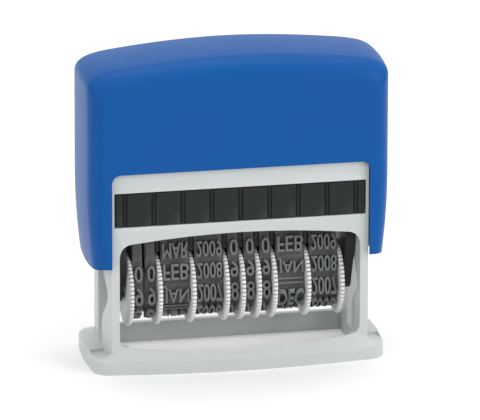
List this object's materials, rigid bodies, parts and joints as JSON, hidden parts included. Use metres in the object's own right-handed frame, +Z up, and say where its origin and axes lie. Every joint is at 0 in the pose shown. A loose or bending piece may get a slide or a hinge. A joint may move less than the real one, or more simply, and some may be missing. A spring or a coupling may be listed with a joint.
{
  "type": "self-inking date stamp",
  "caption": "Self-inking date stamp: a sprung hood on a slotted frame presses a tumbling carriage of thumbwheel-set date bands through the open base.",
  "frame": {"origin": "middle of the base's underside, on the table", "axes": "+X to the right seen from the front, +Y to the back, +Z up; at rest the cap is up"},
  "size_m": [0.0756, 0.0324, 0.0791],
  "materials": {
    "cap_plastic": "satin-gloss moulded plastic, blue",
    "frame_plastic": "satin moulded plastic, light cool grey",
    "cartridge_plastic": "satin moulded plastic, near black",
    "pad_felt": "ink-soaked felt, dark",
    "spring_steel": "plain drawn steel",
    "carriage_plastic": "matt moulded plastic, black",
    "wheel_plastic": "matt moulded plastic, warm light grey",
    "band_rubber": "moulded rubber, dark grey"
  },
  "bodies": {
    "frame": {"base_frame": "frame_plastic", "return_spring": "spring_steel"},
    "cap": {"cap_shell": "cap_plastic"},
    "carriage": {"carriage_arm_right": "carriage_plastic", "carriage_arm_left": "carriage_plastic", "type_bridge": "carriage_plastic", "wheel_shaft": "spring_steel", "date_band_1": "band_rubber", "date_band_2": "band_rubber", "date_band_3": "band_rubber", "date_band_4": "band_rubber", "date_band_5": "band_rubber", "date_band_6": "band_rubber", "date_band_7": "band_rubber", "date_band_8": "band_rubber", "date_band_9": "band_rubber"},
    "cartridge": {"ink_cartridge": "cartridge_plastic", "ink_pad": "pad_felt"},
    "wheel_1": {"date_wheel_1": "wheel_plastic"},
    "wheel_2": {"date_wheel_2": "wheel_plastic"},
    "wheel_3": {"date_wheel_3": "wheel_plastic"},
    "wheel_4": {"date_wheel_4": "wheel_plastic"},
    "wheel_5": {"date_wheel_5": "wheel_plastic"},
    "wheel_6": {"date_wheel_6": "wheel_plastic"},
    "wheel_7": {"date_wheel_7": "wheel_plastic"},
    "wheel_8": {"date_wheel_8": "wheel_plastic"},
    "wheel_9": {"date_wheel_9": "wheel_plastic"}
  },
  "joints": [
    {"name": "cap_press", "type": "slide", "parent": "frame", "child": "cap", "axis": [0, 0, -1], "range_m": [0, 0.02055], "stiffness_N_per_m": 400, "springref_m": -0.012, "deforming": ["return_spring"]},
    {"name": "carriage_flip", "type": "hinge", "parent": "cap", "child": "carriage", "pos_m": [0, 0, 0.029], "axis": [1, 0, 0], "range_deg": [0, 180]},
    {"name": "pad_slide", "type": "slide", "parent": "frame", "child": "cartridge", "axis": [0, 1, 0], "range_m": [-0.0235, 0]},
    {"name": "wheel_1_turn", "type": "hinge", "parent": "carriage", "child": "wheel_1", "pos_m": [-0.0264, 0, 0.0178], "axis": [1, 0, 0], "continuous": true},
    {"name": "wheel_2_turn", "type": "hinge", "parent": "carriage", "child": "wheel_2", "pos_m": [-0.0192, 0, 0.0178], "axis": [1, 0, 0], "continuous": true},
    {"name": "wheel_3_turn", "type": "hinge", "parent": "carriage", "child": "wheel_3", "pos_m": [-0.0108, 0, 0.0178], "axis": [1, 0, 0], "continuous": true},
    {"name": "wheel_4_turn", "type": "hinge", "parent": "carriage", "child": "wheel_4", "pos_m": [-0.0024, 0, 0.0178], "axis": [1, 0, 0], "continuous": true},
    {"name": "wheel_5_turn", "type": "hinge", "parent": "carriage", "child": "wheel_5", "pos_m": [0.0016, 0, 0.0178], "axis": [1, 0, 0], "continuous": true},
    {"name": "wheel_6_turn", "type": "hinge", "parent": "carriage", "child": "wheel_6", "pos_m": [0.0056, 0, 0.0178], "axis": [1, 0, 0], "continuous": true},
    {"name": "wheel_7_turn", "type": "hinge", "parent": "carriage", "child": "wheel_7", "pos_m": [0.0096, 0, 0.0178], "axis": [1, 0, 0], "continuous": true},
    {"name": "wheel_8_turn", "type": "hinge", "parent": "carriage", "child": "wheel_8", "pos_m": [0.018, 0, 0.0178], "axis": [1, 0, 0], "continuous": true},
    {"name": "wheel_9_turn", "type": "hinge", "parent": "carriage", "child": "wheel_9", "pos_m": [0.0264, 0, 0.0178], "axis": [1, 0, 0], "continuous": true}
  ],
  "couplings": [
    {"joint": "carriage_flip", "follows": "cap_press", "rad_per_m": 152.8}
  ]
}
